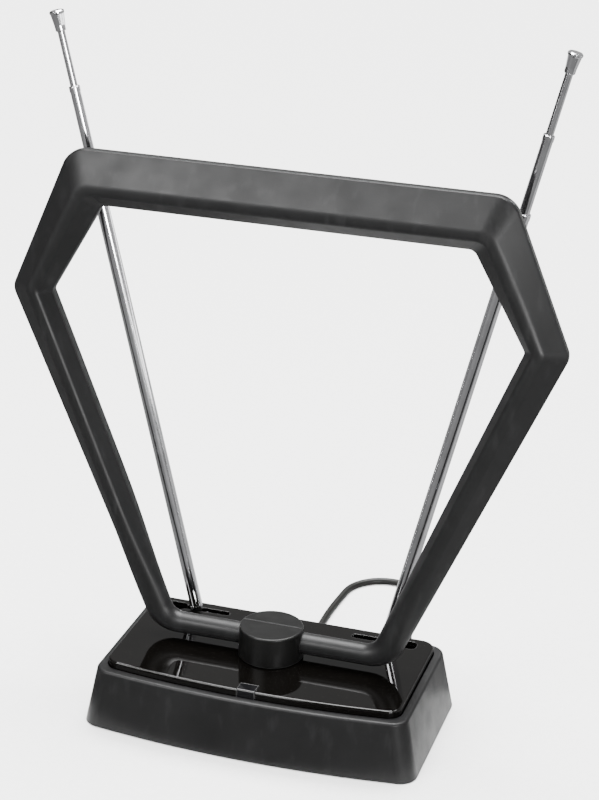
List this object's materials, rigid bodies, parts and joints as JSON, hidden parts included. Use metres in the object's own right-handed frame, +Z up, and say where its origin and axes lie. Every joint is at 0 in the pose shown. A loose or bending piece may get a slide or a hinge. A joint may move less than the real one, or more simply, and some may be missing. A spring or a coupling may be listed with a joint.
{
  "type": "rabbit ears antenna",
  "caption": "Indoor television antenna: weighted base, tilting hexagonal UHF loop, telescopic VHF rods on tilting pivots, and an attached coaxial lead with a screw-on plug.",
  "frame": {"origin": "on the surface the antenna stands on, under the axis of the round hub, which is the centre of the base's footprint", "axes": "+X to the antenna's right as seen from the front, +Y to the back, +Z up"},
  "size_m": [0.2952, 0.2267, 0.3722],
  "materials": {
    "base_matt_plastic": "fine satin texture",
    "plate_gloss_plastic": "piano gloss",
    "insert_plastic": "smoked gloss",
    "loop_matt_plastic": "fine satin texture",
    "hub_matt_plastic": "fine satin texture",
    "foot_rubber": "matt",
    "screw_steel": "zinc plated",
    "ballast_iron": "bare",
    "board_laminate": "solder resist",
    "ferrite": "sintered",
    "filter_parts_finish": "dipped",
    "copper_wire": "enamelled",
    "wire_insulation": "PVC",
    "bracket_steel": "zinc plated",
    "rod_chrome": "polished",
    "guide_brass": "turned",
    "conductor_aluminium": "drawn",
    "cord_jacket": "satin PVC",
    "tie_plastic": "satin",
    "connector_nickel": "nickel plated",
    "insulator_plastic": "polyethylene",
    "friction_pad": "matt"
  },
  "bodies": {
    "base": {"base_housing": "base_matt_plastic", "top_plate": "plate_gloss_plastic", "front_insert": "insert_plastic", "bottom_cover": "base_matt_plastic", "rubber_feet": "foot_rubber", "cover_screws": "screw_steel", "ballast_weight": "ballast_iron", "circuit_board": "board_laminate", "board_screws": "screw_steel", "balun_core": "ferrite", "balun_windings": "copper_wire", "filter_parts": "filter_parts_finish", "loop_leads": "wire_insulation", "inner_coax": "cord_jacket", "hub_front_half": "hub_matt_plastic", "hub_rear_half": "hub_matt_plastic", "hub_friction_pads": "friction_pad", "hub_screws": "screw_steel", "bracket_screws": "screw_steel", "left_rod_bracket": "bracket_steel", "right_rod_bracket": "bracket_steel", "left_pivot_pin": "screw_steel", "right_pivot_pin": "screw_steel", "left_rod_lead": "wire_insulation", "right_rod_lead": "wire_insulation", "strain_relief": "cord_jacket", "cord_tube": "cord_jacket", "cord_hank": "cord_jacket", "cord_tail": "cord_jacket", "cord_tie": "tie_plastic", "connector_boot": "cord_jacket", "connector_sleeve": "connector_nickel", "connector_insulator": "insulator_plastic", "connector_pin": "copper_wire"},
    "loop": {"loop_front_shell": "loop_matt_plastic", "loop_rear_shell": "loop_matt_plastic", "loop_conductor": "conductor_aluminium", "loop_screws": "screw_steel"},
    "left_outer": {"left_rod_knuckle": "rod_chrome", "left_outer_tube": "rod_chrome"},
    "left_middle": {"left_middle_tube": "rod_chrome", "left_middle_guide": "guide_brass"},
    "left_inner": {"left_inner_rod": "rod_chrome", "left_inner_guide": "guide_brass", "left_tip_cap": "rod_chrome"},
    "right_outer": {"right_rod_knuckle": "rod_chrome", "right_outer_tube": "rod_chrome"},
    "right_middle": {"right_middle_tube": "rod_chrome", "right_middle_guide": "guide_brass"},
    "right_inner": {"right_inner_rod": "rod_chrome", "right_inner_guide": "guide_brass", "right_tip_cap": "rod_chrome"},
    "nut": {"connector_nut": "connector_nickel"}
  },
  "joints": [
    {"name": "loop_tilt", "type": "hinge", "parent": "base", "child": "loop", "pos_m": [0, 0.002, 0.04615], "axis": [1, 0, 0], "range_deg": [-4, 90]},
    {"name": "left_rod_tilt", "type": "hinge", "parent": "base", "child": "left_outer", "pos_m": [-0.0522, 0.035, 0.026], "axis": [0, 1, 0], "range_deg": [-14, 36]},
    {"name": "left_middle_slide", "type": "slide", "parent": "left_outer", "child": "left_middle", "axis": [-0.2351, 0, 0.972], "range_m": [-0.0385, 0.195]},
    {"name": "left_inner_slide", "type": "slide", "parent": "left_middle", "child": "left_inner", "axis": [-0.2351, 0, 0.972], "range_m": [-0.028, 0.185]},
    {"name": "right_rod_tilt", "type": "hinge", "parent": "base", "child": "right_outer", "pos_m": [0.0522, 0.035, 0.026], "axis": [0, 1, 0], "range_deg": [-36, 14]},
    {"name": "right_middle_slide", "type": "slide", "parent": "right_outer", "child": "right_middle", "axis": [0.2317, 0, 0.9728], "range_m": [-0.0385, 0.195]},
    {"name": "right_inner_slide", "type": "slide", "parent": "right_middle", "child": "right_inner", "axis": [0.2317, 0, 0.9728], "range_m": [-0.031, 0.185]},
    {"name": "connector_nut_spin", "type": "hinge", "parent": "base", "child": "nut", "pos_m": [0.0154, 0.0575, 0.0193], "axis": [-1, 0, 0], "continuous": true}
  ]
}
